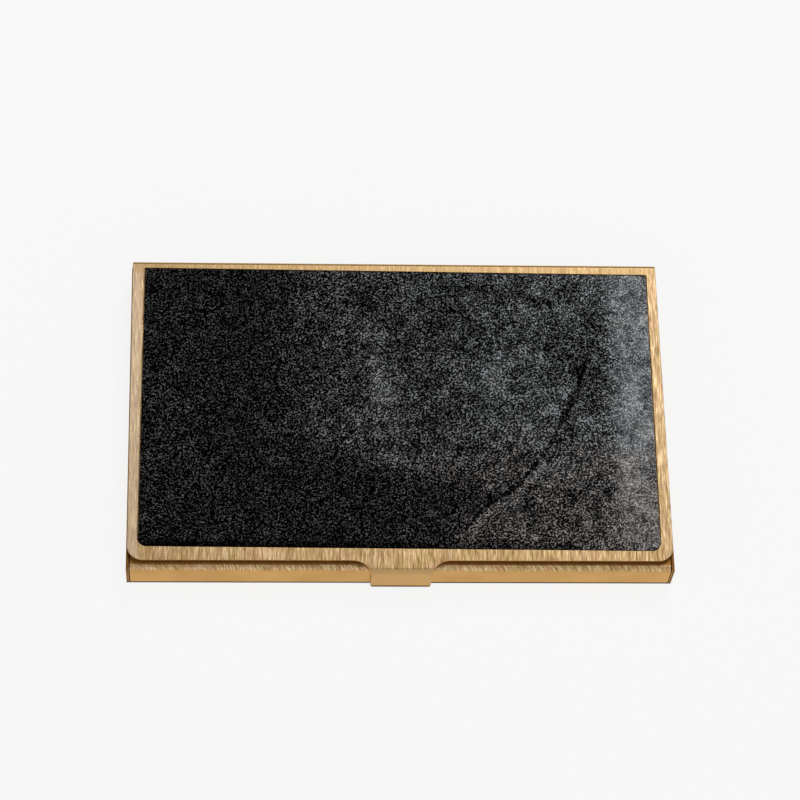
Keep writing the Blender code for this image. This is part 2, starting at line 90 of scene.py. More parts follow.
# The lid
LID_SHEET = 0.7 * MM
LID_HALF_WIDTH = LID_HIGH.x
LID_FRONT = -28.05 * MM
LID_REAR = LID_HIGH.y
LID_TOP = LID_HIGH.z
LID_CORNER = 2.7 * MM
LID_REAR_BEND = 1.0 * MM
FLANGE_TIP = 1.57 * MM
TONGUE_HALF_WIDTH = 5.25 * MM
TONGUE_FILLET = 3.2 * MM
TONGUE_FACE = LID_LOW.y
TONGUE_BEND = 1.2 * MM
TONGUE_TIP = LID_LOW.z
TONGUE_CORNER = 0.5 * MM
EAR_FACE = 46.7 * MM
EAR_BEND = 0.8 * MM
EAR_RADIUS = 1.4 * MM
NOTCH_INNER = 43.2 * MM
NOTCH_TOP = 3.6 * MM

# The leather panel's pocket, and the film under it
POCKET_DEPTH = 0.35 * MM
PANEL_GAP = 0.12 * MM
POCKET_FRONT_CORNER = 1.6 * MM
POCKET_REAR_CORNER = 0.3 * MM
FILM_CORNER = 1.2 * MM

# The card lifter
LIFTER_SHEET = 0.4 * MM
LIFTER_BOTTOM = LIFTER_LOW.z
LIFTER_FACE = LIFTER_HIGH.x
LIFTER_BEND = 0.6 * MM
LIFTER_FRONT = LIFTER_LOW.y
LIFTER_REAR = 25.5 * MM
LIFTER_LIP_HALF_WIDTH = 44.4 * MM
LIFTER_SIDE_TOP = 2.0 * MM
ARM_RISE_START = 18.5 * MM
ARM_RISE_END = 24.0 * MM
ARM_ROOT = 21.5 * MM
ARM_UNDERSIDE = 2.6 * MM
ARM_UNDERSIDE_START = 22.6 * MM
LIFTER_EAR_RADIUS = LIFTER_HIGH.z - HINGE_Z

# Hinge parts
PIN_RADIUS = PIN_HIGH.z - HINGE_Z
PIN_CHAMFER = 0.1 * MM
RIVET_FLAT = 0.3 * PIN_RADIUS
RIVET_DIMPLE = 0.05 * MM
GROOVE_RADIUS = 0.5 * MM
BORE_RADIUS = 0.78 * MM
WIRE_RADIUS = 0.15 * MM
COIL_RADIUS = 1.0 * MM
COIL_INNER_END = 43.62 * MM
COIL_OUTER_END = 45.03 * MM
COIL_TURNS = 3
FLOOR_LEG_ANGLE = 153.3
FLOOR_LEG_LENGTH = 3.5 * MM
ARM_LEG_SPLAY = 45.5 * MM
ARM_LEG_REACH = 5.4 * MM

# Fineness
BEND_STEP = 7.5
CORNER_STEPS = 12
ROUND_STEPS = 96
EDGE_ROUND = 0.07 * MM
LIFTER_EDGE_ROUND = 0.05 * MM
SMALL_EDGE_ROUND = 0.03 * MM
EDGE_ANGLE = 50
SHORT_EDGE = 0.05 * MM
LEATHER_STEP = 0.4 * MM
POINTS_PER_TURN = 48
WIRE_SIDES = 14

# The camera, as fitted to the straight edges of the lid and tray
CAMERA_PLACE = (-30.38 * MM, -228.24 * MM, 477.95 * MM)
CAMERA_YAW = 7.566
CAMERA_PITCH = 63.707
CAMERA_ROLL = 7.131
CAMERA_LENS = 133.64
CAMERA_SENSOR = 36.0
CAMERA_NEAR = 0.01
CAMERA_FAR = 20.0

# The studio: a sky that dims towards the rear, a glowing floor and the key light
SKY_FRONT = 0.80
SKY_REAR = 0.12
SKY_CHANGE = (-0.45, 0.46)
FLOOR_REACH = 3.0
FLOOR_GLOW = 0.838
FLOOR_TONES = (0.145, 0.155)
KEY_AZIMUTH = 18
KEY_ELEVATION = 49
KEY_DISTANCE = 1.0
KEY_SIZE = 0.40
KEY_POWER = 2.75
KEY_COLOR = (1.0, 0.98, 0.95)

# The brass: two tones for each satin face, and the steepness between which the strokes fade out
LID_SATIN = ((0.515, 0.310, 0.128), (0.585, 0.360, 0.154))
TRAY_SATIN = ((0.545, 0.310, 0.108), (0.630, 0.370, 0.137))
LID_FADE = (0.90, 0.998)
TRAY_FADE = (0.40, 0.86)
TRAY_STROKE_TURN = -32.0
LIFTER_STROKE_TURN = 90.0
PALE_SIDE_MARGIN = 0.4 * MM
# How far up from the tongue's tip the painted shade reaches.
TONGUE_PAINTED_SHADE = 0.78 * MM


# ---------------------------------------------------------------- shapes


def arc(center, radius, start, end, steps=CORNER_STEPS):
    """Points round an arc, from start to end in degrees."""
    points = []
    for index in range(steps + 1):
        angle = math.radians(start + (end - start) * index / steps)
        points.append((center[0] + radius * math.cos(angle), center[1] + radius * math.sin(angle)))
    return points


def mirrored(half_outline):
    """A whole outline from its right half, which runs from the front middle to the rear middle."""
    left_half = [(-x, y) for x, y in reversed(half_outline) if x > 0]
    return half_outline + left_half


def fold_path(start, *runs):
    """Follow a strip of sheet away from start, level at first and curling up with each bend.

    A run is a flat length or a (radius, degrees) bend. A knot is (distance along the sheet, across, up).
    """
    distance = 0.0
    heading = 0.0
    across, up = start
    knots = [(distance, across, up)]
    for run in runs:
        if isinstance(run, tuple):
            radius, degrees = run
            steps = round(degrees / BEND_STEP)
            turn = math.radians(degrees) / steps
            advance = 2 * radius * math.sin(turn / 2)
            travelled = radius * turn
        else:
            steps = 1
            turn = 0.0
            advance = run
            travelled = run
        for _ in range(steps):
            heading += turn / 2
            across += advance * math.cos(heading)
            up += advance * math.sin(heading)
            heading += turn / 2
            distance += travelled
            knots.append((distance, across, up))
    return knots


def along(knots, distance):
    """The (across, up) place of a point that lies this far along a folded strip."""
    for before, after in zip(knots, knots[1:]):
        if distance <= after[0]:
            share = (distance - before[0]) / (after[0] - before[0])
            return before[1] + share * (after[1] - before[1]), before[2] + share * (after[2] - before[2])
    return knots[-1][1], knots[-1][2]


def distance_at_height(knots, height):
    """How far along a strip, once past its last bend, the sheet reaches this height above its start."""
    end_distance, _, end_up = knots[-1]
    return end_distance - (end_up - height)


def score_lines(knots):
    """The distances at which a strip has to be scored before it is folded."""
    return [knot[0] for knot in knots[:-1]]


def score(shape, axis, places, chosen=None):
    """Cut the flat blank at each place along an axis, only through the faces that are chosen."""
    for place in places:
        faces = [face for face in shape.faces if chosen is None or chosen(face.calc_center_median())]
        edges = {edge for face in faces for edge in face.edges}
        verts = {vert for edge in edges for vert in edge.verts}
        point = (place, 0.0, 0.0) if axis == 0 else (0.0, place, 0.0)
        normal = (1.0, 0.0, 0.0) if axis == 0 else (0.0, 1.0, 0.0)
        parts = list(verts) + list(edges) + faces
        bmesh.ops.bisect_plane(shape, geom=parts, dist=1e-7, plane_co=point, plane_no=normal)


def blank(half_outline, outside_down):
    """A flat blank as one face, with its outer side down or up."""
    shape = bmesh.new()
    outline = mirrored(half_outline)
    if outside_down:
        outline.reverse()
    shape.faces.new([shape.verts.new((x, y, 0.0)) for x, y in outline])
    return shape


def both_sides(distances):
    """The same distances to the right and to the left."""
    return [side * distance for distance in distances for side in (-1, 1)]


def extruded(places, offset):
    """A flat outline of points, made solid by pushing it along an offset."""
    shape = bmesh.new()
    face = shape.faces.new([shape.verts.new(place) for place in places])
    raised = bmesh.ops.extrude_face_region(shape, geom=[face])["geom"]
    moved = [part for part in raised if isinstance(part, bmesh.types.BMVert)]
    bmesh.ops.translate(shape, verts=moved, vec=offset)
    bmesh.ops.recalc_face_normals(shape, faces=shape.faces)
    return shape


def slab(outline, low, high):
    """An outline in X and Y, made solid between two heights."""
    return extruded([(x, y, low) for x, y in outline], (0.0, 0.0, high - low))


def turned(profile, side=1, steps=ROUND_STEPS):
    """Spin a closed profile of (distance along X, radius) points round the hinge axis."""
    shape = bmesh.new()
    verts = [shape.verts.new((side * x, HINGE_Y, HINGE_Z + radius)) for x, radius in profile]
    for start, end in zip(verts, verts[1:] + verts[:1]):
        shape.edges.new((start, end))
    bmesh.ops.spin(
        shape,
        geom=shape.verts[:] + shape.edges[:],
        cent=(0.0, HINGE_Y, HINGE_Z),
        axis=(1.0, 0.0, 0.0),
        angle=2 * math.pi,
        steps=steps,
        use_merge=True,
    )
    bmesh.ops.remove_doubles(shape, verts=shape.verts, dist=1e-7)
    on_axis = [edge for edge in shape.edges if not edge.link_faces]
    bmesh.ops.delete(shape, geom=on_axis, context="EDGES")
    bmesh.ops.recalc_face_normals(shape, faces=shape.faces)
    return shape


def rounded_profile(low, high, inner, outer, edge):
    """A ring's section, (distance along X, radius), with its four corners rounded."""
    corners = (
        (low + edge, outer - edge, 180, 90),
        (high - edge, outer - edge, 90, 0),
        (high - edge, inner + edge, 0, -90),
        (low + edge, inner + edge, -90, -180),
    )
    return [point for x, r, start, end in corners for point in arc((x, r), edge, start, end, 4)]


def link(name, data):
    """Put data into the scene as a new object."""
    made = bpy.data.objects.new(name, data)
    bpy.context.collection.objects.link(made)
    return made


def link_mesh(name, shape):
    """Put a finished bmesh into the scene as a new object."""
    data = bpy.data.meshes.new(name)
    shape.to_mesh(data)
    shape.free()
    return link(name, data)


def piece(name, shape, body, node, finish):
    """Put a finished mesh on its body, in place of its CAD node."""
    made = link_mesh(name, shape)
    made.data.materials.append(finish)
    if body is not None:
        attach(made, body)
    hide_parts(node)
    return made


def shade(item, degrees=35.0):
    """Smooth shading with real edges kept sharp."""
    item.data.shade_smooth()
    item.data.set_sharp_from_angle(angle=math.radians(degrees))


def settle(item):
    """Apply a piece's modifiers, so that its final mesh is its own."""
    depsgraph = bpy.context.evaluated_depsgraph_get()
    done = bpy.data.meshes.new_from_object(item.evaluated_get(depsgraph), depsgraph=depsgraph)
    item.modifiers.clear()
    item.data = done


def round_edges(item, width, segments):
    """Round the edges that turn by more than EDGE_ANGLE."""
    bevel = item.modifiers.new("edges", "BEVEL")
    bevel.width = width
    bevel.segments = segments
    bevel.limit_method = "ANGLE"
    bevel.angle_limit = math.radians(EDGE_ANGLE)
    return bevel


def finish_sheet(item, sheet, cutters, cut_finish, edge=EDGE_ROUND):
    """Thicken a folded surface, cut it, and round its cut edges, which stay a duller colour."""
    item.data.materials.append(cut_finish)
    solidify = item.modifiers.new("sheet", "SOLIDIFY")
    solidify.material_offset_rim = 1
    solidify.thickness = sheet
    solidify.offset = -1.0
    solidify.use_even_offset = True
    solidify.use_quality_normals = True
    for tool in cutters:
        boolean = item.modifiers.new(tool.name, "BOOLEAN")
        boolean.operation = "DIFFERENCE"
        boolean.solver = "EXACT"
        boolean.object = tool
    # Edges shorter than the rounding would let it shoot past them, so they are joined first.
    weld = item.modifiers.new("short edges", "WELD")
    weld.merge_threshold = SHORT_EDGE
    bevel = round_edges(item, edge, 3)
    bevel.use_clamp_overlap = False
    bevel.material = 0
    settle(item)
    shade(item, 40)
    weighted = item.modifiers.new("normals", "WEIGHTED_NORMAL")
    weighted.keep_sharp = True
    settle(item)


# ---------------------------------------------------------------- folds and blanks

FLOOR_SIDE = TRAY_HALF_WIDTH - FOOT_BEND
FLOOR_FRONT = TRAY_FRONT + FOOT_BEND
FLOOR_REAR = REAR_LIP_FACE - FOOT_BEND
SIDE_WALL = fold_path((FLOOR_SIDE, 0.0), (FOOT_BEND, 90), TRAY_TOP - FOOT_BEND)
REAR_LIP = fold_path((FLOOR_REAR, 0.0), (FOOT_BEND, 90), REAR_LIP_TOP - FOOT_BEND)
FRONT_RAIL = fold_path(
    (-FLOOR_FRONT, 0.0),
    (FOOT_BEND, 90),
    TRAY_TOP - FOOT_BEND - RAIL_TOP_BEND,
    (RAIL_TOP_BEND, 90),
    RAIL_DEPTH - RAIL_TOP_BEND - RAIL_BACK_BEND,
    (RAIL_BACK_BEND, 90),
    TRAY_TOP - RAIL_BACK_BEND - RAIL_FREE_EDGE,
)
TONGUE_START = TONGUE_FACE + TONGUE_BEND
FLANGE_START = LID_REAR - LID_REAR_BEND
EAR_START = EAR_FACE - EAR_BEND
TONGUE = fold_path((-TONGUE_START, 0.0), (TONGUE_BEND, 90), LID_TOP - TONGUE_BEND - TONGUE_TIP)
FLANGE = fold_path((FLANGE_START, 0.0), (LID_REAR_BEND, 90), LID_TOP - LID_REAR_BEND - FLANGE_TIP)
EAR = fold_path((EAR_START, 0.0), (EAR_BEND, 90), LID_REAR - EAR_BEND - HINGE_Y + EAR_RADIUS)
LIFTER_SIDE = LIFTER_FACE - LIFTER_BEND
LIFTER_LIP_START = LIFTER_FRONT + LIFTER_BEND
LIFTER_WALL = fold_path(
    (LIFTER_SIDE, 0.0), (LIFTER_BEND, 90), HINGE_Z + LIFTER_EAR_RADIUS - LIFTER_BOTTOM - LIFTER_BEND
)
LIFTER_LIP = fold_path(
    (-LIFTER_LIP_START, 0.0), (LIFTER_BEND, 90), LIFTER_SIDE_TOP - LIFTER_BOTTOM - LIFTER_BEND
)


def fold_tray(u, v):
    """Fold one point of the tray's blank."""
    if abs(u) > FLOOR_SIDE:
        across, up = along(SIDE_WALL, abs(u) - FLOOR_SIDE)
        return math.copysign(across, u), v, up
    if v < FLOOR_FRONT:
        across, up = along(FRONT_RAIL, FLOOR_FRONT - v)
        return u, -across, up
    if v > FLOOR_REAR:
        across, up = along(REAR_LIP, v - FLOOR_REAR)
        return u, across, up
    return u, v, 0.0


def fold_lid(u, v):
    """Fold one point of the lid's blank, whose ears fold again from its rear flange."""
    across, drop = v, 0.0
    if v < TONGUE_START:
        front, drop = along(TONGUE, TONGUE_START - v)
        across = -front
    elif v > FLANGE_START:
        across, drop = along(FLANGE, v - FLANGE_START)
    flange_flat = LID_TOP - drop < HINGE_Z + EAR_RADIUS + SHEET_CORNER / 2
    if v > FLANGE_START and flange_flat and abs(u) > EAR_START:
        side, inward = along(EAR, abs(u) - EAR_START)
        return math.copysign(side, u), across - inward, LID_TOP - drop
    return u, across, LID_TOP - drop


def fold_lifter(u, v):
    """Fold one point of the lifter's blank."""
    if abs(u) > LIFTER_SIDE:
        across, up = along(LIFTER_WALL, abs(u) - LIFTER_SIDE)
        return math.copysign(across, u), v, LIFTER_BOTTOM + up
    if v < LIFTER_LIP_START:
        across, up = along(LIFTER_LIP, LIFTER_LIP_START - v)
        return u, -across, LIFTER_BOTTOM + up
    return u, v, LIFTER_BOTTOM


def tray_blank():
    """The right half of the tray's flat blank."""
    rail_side = TRAY_HALF_WIDTH - TRAY_SHEET - CORNER_SEAM
    rail_end = FLOOR_FRONT - FRONT_RAIL[-1][0]
    wall_front = TRAY_FRONT + WALL_SETBACK
    wall_top = FLOOR_SIDE + SIDE_WALL[-1][0]
    pivot = FLOOR_SIDE + distance_at_height(SIDE_WALL, HINGE_Z)
    rear_angle = math.degrees(math.acos(WALL_REAR_SETBACK / WALL_REAR_RADIUS))
    lip_end = FLOOR_REAR + REAR_LIP[-1][0]
    return [
        (0.0, rail_end),
        *arc((rail_side - SHEET_CORNER, rail_end + SHEET_CORNER), SHEET_CORNER, -90, 0),
        (rail_side, FLOOR_FRONT - WALL_SETBACK),
        (FLOOR_SIDE, FLOOR_FRONT),
        (FLOOR_SIDE + SHEET_CORNER / 2, wall_front),
        *arc((wall_top - SHEET_CORNER, wall_front + SHEET_CORNER), SHEET_CORNER, -90, 0),
        *arc((pivot, HINGE_Y), WALL_REAR_RADIUS, 0, 90 + rear_angle, 4 * CORNER_STEPS),
        (FLOOR_SIDE, HINGE_Y + WALL_REAR_SETBACK),
        (REAR_LIP_HALF_WIDTH, FLOOR_REAR),
        *arc((REAR_LIP_HALF_WIDTH - SHEET_CORNER / 2, lip_end - SHEET_CORNER / 2), SHEET_CORNER / 2, 0, 90),
        (0.0, lip_end),
    ]


def lid_blank():
    """The right half of the lid's flat blank."""
    tongue_end = TONGUE_START - TONGUE[-1][0]
    fillet = (TONGUE_HALF_WIDTH + TONGUE_FILLET, LID_FRONT - TONGUE_FILLET)
    corner = (LID_HALF_WIDTH - LID_CORNER, LID_FRONT + LID_CORNER)
    bend_end = FLANGE_START + FLANGE[-2][0]
    pivot_down = FLANGE_START + distance_at_height(FLANGE, LID_TOP - HINGE_Z)
    pivot_across = EAR_START + distance_at_height(EAR, LID_REAR - HINGE_Y)
    notch_top = FLANGE_START + distance_at_height(FLANGE, LID_TOP - NOTCH_TOP)
    flange_end = FLANGE_START + FLANGE[-1][0]
    return [
        (0.0, tongue_end),
        *arc((TONGUE_HALF_WIDTH - TONGUE_CORNER, tongue_end + TONGUE_CORNER), TONGUE_CORNER, -90, 0),
        *arc(fillet, TONGUE_FILLET, 180, 90, 2 * CORNER_STEPS),
        *arc(corner, LID_CORNER, -90, 0, 2 * CORNER_STEPS),
        (LID_HALF_WIDTH, bend_end),
        (EAR_START, bend_end),
        (EAR_START, pivot_down - EAR_RADIUS),
        *arc((pivot_across, pivot_down), EAR_RADIUS, -90, 90, 4 * CORNER_STEPS),
        (EAR_START, pivot_down + EAR_RADIUS),
        (EAR_START, notch_top),
        (NOTCH_INNER, notch_top),
        *arc((NOTCH_INNER - SHEET_CORNER, flange_end - SHEET_CORNER), SHEET_CORNER, 0, 90),
        (0.0, flange_end),
    ]


def lifter_blank():
    """The right half of the lifter's flat blank."""

    def wall(height):
        return LIFTER_SIDE + distance_at_height(LIFTER_WALL, height - LIFTER_BOTTOM)

    lip_end = LIFTER_LIP_START - LIFTER_LIP[-1][0]
    side_top = wall(LIFTER_SIDE_TOP)
    side_front = LIFTER_LIP_START + SHEET_CORNER
    underside_angle = 180 + math.degrees(math.acos((HINGE_Z - ARM_UNDERSIDE) / LIFTER_EAR_RADIUS))
    return [
        (0.0, lip_end),
        *arc((LIFTER_LIP_HALF_WIDTH - SHEET_CORNER, lip_end + SHEET_CORNER), SHEET_CORNER, -90, 0),
        (LIFTER_LIP_HALF_WIDTH, LIFTER_LIP_START),
        (LIFTER_SIDE, side_front),
        *arc((side_top - SHEET_CORNER, side_front + SHEET_CORNER), SHEET_CORNER, -90, 0),
        (side_top, ARM_RISE_START),
        (wall(HINGE_Z + LIFTER_EAR_RADIUS), ARM_RISE_END),
        *arc((wall(HINGE_Z), HINGE_Y), LIFTER_EAR_RADIUS, 0, underside_angle, 4 * CORNER_STEPS),
        (wall(ARM_UNDERSIDE), ARM_UNDERSIDE_START),
        (LIFTER_SIDE + LIFTER_WALL[-2][0], ARM_ROOT),
        (LIFTER_SIDE, ARM_ROOT),
        *arc((LIFTER_SIDE - SHEET_CORNER, LIFTER_REAR - SHEET_CORNER), SHEET_CORNER, 0, 90),
        (0.0, LIFTER_REAR),
    ]


def askew(outline):
    """The panel, its film and their pocket sit very slightly turned in the lid."""
    turn = Matrix.Rotation(PANEL_SKEW, 2)
    return [tuple(turn @ Vector(place)) for place in outline]


def pocket_outline():
    """The pocket's outline: square behind and rounded in front."""
    side = PANEL_HIGH.x + PANEL_GAP
    front = PANEL_LOW.y - PANEL_GAP
    rear = PANEL_HIGH.y + PANEL_GAP
    right = [(0.0, front)]
    right += arc((side - POCKET_FRONT_CORNER, front + POCKET_FRONT_CORNER), POCKET_FRONT_CORNER, -90, 0)
    right += arc((side - POCKET_REAR_CORNER, rear - POCKET_REAR_CORNER), POCKET_REAR_CORNER, 0, 90)
    right += [(0.0, rear)]
    return askew(mirrored(right))


# ---------------------------------------------------------------- materials


class Shader:
    """A Principled material and short ways to add nodes to it."""

    def __init__(self, name):
        self.material = bpy.data.materials.new(name)
        self.material.use_nodes = True
        self.tree = self.material.node_tree
        self.principled = self.tree.nodes["Principled BSDF"]
        self.place = self.add("ShaderNodeTexCoord").outputs["Object"]
        self.normal = self.place.node.outputs["Normal"]

    def add(self, kind, inputs=(), **settings):
        """Add a node, and give each input its value or the socket that feeds it."""
        made = self.tree.nodes.new(kind)
        for key, value in settings.items():
            setattr(made, key, value)
        for key, value in dict(inputs).items():
            self.feed(made.inputs[key], value)
        return made

    def feed(self, socket, value):
        if isinstance(value, bpy.types.NodeSocket):
            self.tree.links.new(value, socket)
        else:
            socket.default_value = value

    def math(self, operation, first, second=0.0, third=0.0, clamp=False):
        inputs = {0: first, 1: second, 2: third}
        return self.add("ShaderNodeMath", inputs, operation=operation, use_clamp=clamp).outputs[0]

    def plus(self, first, second, clamp=False):
        return self.math("ADD", first, second, clamp=clamp)

    def times(self, first, second, clamp=False):
        return self.math("MULTIPLY", first, second, clamp=clamp)

    def scaled(self, value, factor, offset, clamp=False):
        return self.math("MULTIPLY_ADD", value, factor, offset, clamp)

    def mapped(self, place, scale=(1.0, 1.0, 1.0), turn=0.0, shift=(0.0, 0.0, 0.0)):
        """Turn coordinates about Z in degrees and then scale them."""
        rotation = (0.0, 0.0, math.radians(turn))
        around = self.add("ShaderNodeMapping", {"Vector": place, "Rotation": rotation, "Location": shift})
        return self.add("ShaderNodeMapping", {"Vector": around.outputs[0], "Scale": scale}).outputs[0]

    def separate(self, place, axis):
        return self.add("ShaderNodeSeparateXYZ", {0: place}).outputs[axis]

    def span(self, value, low, high):
        """Nought below one value, one above another, and smooth between."""
        inputs = {"Value": value, "From Min": low, "From Max": high}
        return self.add("ShaderNodeMapRange", inputs, interpolation_type="SMOOTHSTEP").outputs["Result"]

    def noise(self, place, scale, detail=2.0, roughness=0.5, distortion=0.0):
        inputs = {"Vector": place, "Scale": scale, "Detail": detail}
        inputs.update({"Roughness": roughness, "Distortion": distortion})
        return self.add("ShaderNodeTexNoise", inputs).outputs["Fac"]

    def wander(self, place, scale, amount):
        """Coordinates pushed about by a soft noise, so that lines are never quite straight."""
        cloud = self.add("ShaderNodeTexNoise", {"Vector": place, "Scale": scale, "Detail": 1.0})
        inputs = {0: cloud.outputs["Color"], 1: (0.5, 0.5, 0.5)}
        centred = self.add("ShaderNodeVectorMath", inputs, operation="SUBTRACT")
        inputs = {0: centred.outputs[0], 1: (amount, amount, amount), 2: place}
        return self.add("ShaderNodeVectorMath", inputs, operation="MULTIPLY_ADD").outputs[0]

    def ramp(self, value, *stops):
        """Colours or greys at rising places along a value."""
        made = self.add("ShaderNodeValToRGB", {"Fac": value})
        elements = made.color_ramp.elements
        while len(elements) < len(stops):
            elements.new(0.5)
        for element, (place, color) in zip(elements, stops):
            element.position = place
            element.color = (color, color, color, 1.0) if isinstance(color, float) else (*color, 1.0)
        return made.outputs["Color"]

    def blend(self, share, first, second, mode="MIX"):
        first, second = ((*tone, 1.0) if isinstance(tone, tuple) else tone for tone in (first, second))
        inputs = {"Factor": share, "A": first, "B": second}
        return self.add("ShaderNodeMix", inputs, data_type="RGBA", blend_type=mode).outputs["Result"]

    def bump(self, height, distance, strength):
        inputs = {"Strength": strength, "Distance": distance, "Height": height}
        return self.add("ShaderNodeBump", inputs).outputs["Normal"]

    def finish(self, color, roughness, normal=None, **fixed):
        self.feed(self.principled.inputs["Base Color"], color)
        self.feed(self.principled.inputs["Roughness"], roughness)
        if normal is not None:
            self.feed(self.principled.inputs["Normal"], normal)
        for name, value in fixed.items():
            self.principled.inputs[name.replace("_", " ")].default_value = value
        return self.material


def brushed_brass(
    name, turn, fade, satin_tones, stroke=1.0, contrast=1.0, pale_from=None, lid_shadow_from=None, painted_shade_below=None
):
    """Brass rubbed by hand: short wandering strokes on the level faces, satin upright faces.

    The strokes run along Y, turned about Z by the angle given, and fade out round the bends between the
    two steepnesses in fade. The sides beyond pale_from are paler, more so at the left. The lip is darkened
    from just in front of the given lid edge backwards, painted shadow of the lid's edge together with duller
    unrubbed metal under the lid, and the metal below the given height is darkened along its edge as painted
    shade.
    """
    shader = Shader(name)
    level = shader.span(shader.math("ABSOLUTE", shader.separate(shader.normal, "Z")), *fade)
    place = shader.wander(shader.place, 140.0, 0.0006)
    place = shader.wander(place, 900.0, 0.00012)
    fine = shader.noise(shader.mapped(place, (5000.0, 400.0 * stroke, 900.0), turn), 1.0, 2.0, 0.6)
    broad = shader.noise(shader.mapped(place, (2300.0, 210.0 * stroke, 500.0), turn, (0.013, 0, 0)), 1.0, 2.0)
    crossing = shader.mapped(place, (3600.0, 300.0 * stroke, 600.0), turn + 9, (0.031, 0, 0))
    lone = shader.noise(crossing, 1.0, 1.0)
    cloud = shader.noise(shader.place, 120.0, 3.0, 0.55)
    strokes = shader.plus(shader.times(fine, 0.78), shader.times(broad, 0.22))
    rubbed_and_painted_light = shader.ramp(
        strokes,
        (0.36, (0.32, 0.195, 0.078)),
        (0.45, (0.52, 0.335, 0.155)),
        (0.54, (0.66, 0.445, 0.225)),
        (0.64, (0.94, 0.710, 0.420)),
    )
    bright = shader.ramp(lone, (0.62, 0.0), (0.72, 1.0))
    rubbed_and_painted_light = shader.blend(shader.times(bright, 0.55 * contrast), rubbed_and_painted_light, (1.0, 0.82, 0.56))
    tinted = shader.ramp(
        shader.noise(shader.place, 420.0, 2.0),
        (0.36, (0.96, 1.0, 0.86)),
        (0.50, (1.0, 1.0, 1.0)),
        (0.64, (1.0, 0.93, 0.97)),
    )
    rubbed_and_painted_light = shader.blend(0.7, rubbed_and_painted_light, tinted, "MULTIPLY")
    if pale_from is not None:
        across = shader.separate(shader.place, "X")
        # Paler along the sides beside the panel, more so at the left.
        paler_sides = shader.span(shader.math("ABSOLUTE", across), pale_from, pale_from + 1.2 * MM)
        paler_sides = shader.times(paler_sides, shader.scaled(across, -3.6, 0.28))
        rubbed_and_painted_light = shader.blend(paler_sides, rubbed_and_painted_light, (0.86, 0.70, 0.55))
        rear = shader.span(shader.separate(shader.place, "Y"), PANEL_HIGH.y - 1.0 * MM, PANEL_HIGH.y)
        rubbed_and_painted_light = shader.blend(shader.times(rear, 0.75), rubbed_and_painted_light, (0.57, 0.390, 0.188))
    if lid_shadow_from is not None:
        # Painted shadow of the lid's front edge on the lip, reaching 0.62 mm in front of it, together with
        # duller unrubbed metal under the lid.
        lid_shadow_and_unrubbed = shader.span(shader.separate(shader.place, "Y"), lid_shadow_from - 0.62 * MM, lid_shadow_from - 0.12 * MM)
        rubbed_and_painted_light = shader.blend(shader.times(lid_shadow_and_unrubbed, 0.90), rubbed_and_painted_light, (0.33, 0.145, 0.018))
    satin = shader.ramp(cloud, (0.35, satin_tones[0]), (0.65, satin_tones[1]))
    color = shader.blend(level, satin, rubbed_and_painted_light)
    if painted_shade_below is not None:
        # Painted shade: the lid's lowest edge, the tongue's tip, is darkened.
        above_painted_shade = shader.span(shader.separate(shader.place, "Z"), painted_shade_below - 0.25 * MM, painted_shade_below)
        color = shader.blend(above_painted_shade, (0.080, 0.034, 0.014), color)
    roughness = shader.scaled(strokes, -0.30, 0.62)
    roughness = shader.scaled(shader.math("SUBTRACT", roughness, 0.38), level, 0.38)
    height = shader.plus(strokes, shader.times(bright, 0.2))
    normal = shader.bump(height, 0.00003, shader.times(level, 0.5 * contrast))
    return shader.finish(color, roughness, normal, Metallic=1.0, Specular_Tint=(1.0, 0.88, 0.66, 1.0))


def sheared_brass():
    """The duller cut edges of the brass sheets, with drag marks from the shear."""
    shader = Shader("brass_cut_edge")
    drag = shader.noise(shader.mapped(shader.place, (1800.0, 1800.0, 300.0)), 1.0, 3.0)
    mottle = shader.noise(shader.place, 500.0, 2.0)
    tone = shader.plus(shader.times(drag, 0.6), shader.times(mottle, 0.4))
    color = shader.ramp(tone, (0.35, (0.18, 0.078, 0.012)), (0.65, (0.30, 0.145, 0.034)))
    roughness = shader.scaled(drag, 0.25, 0.40)
    return shader.finish(color, roughness, shader.bump(drag, 0.00002, 0.5), Metallic=1.0)


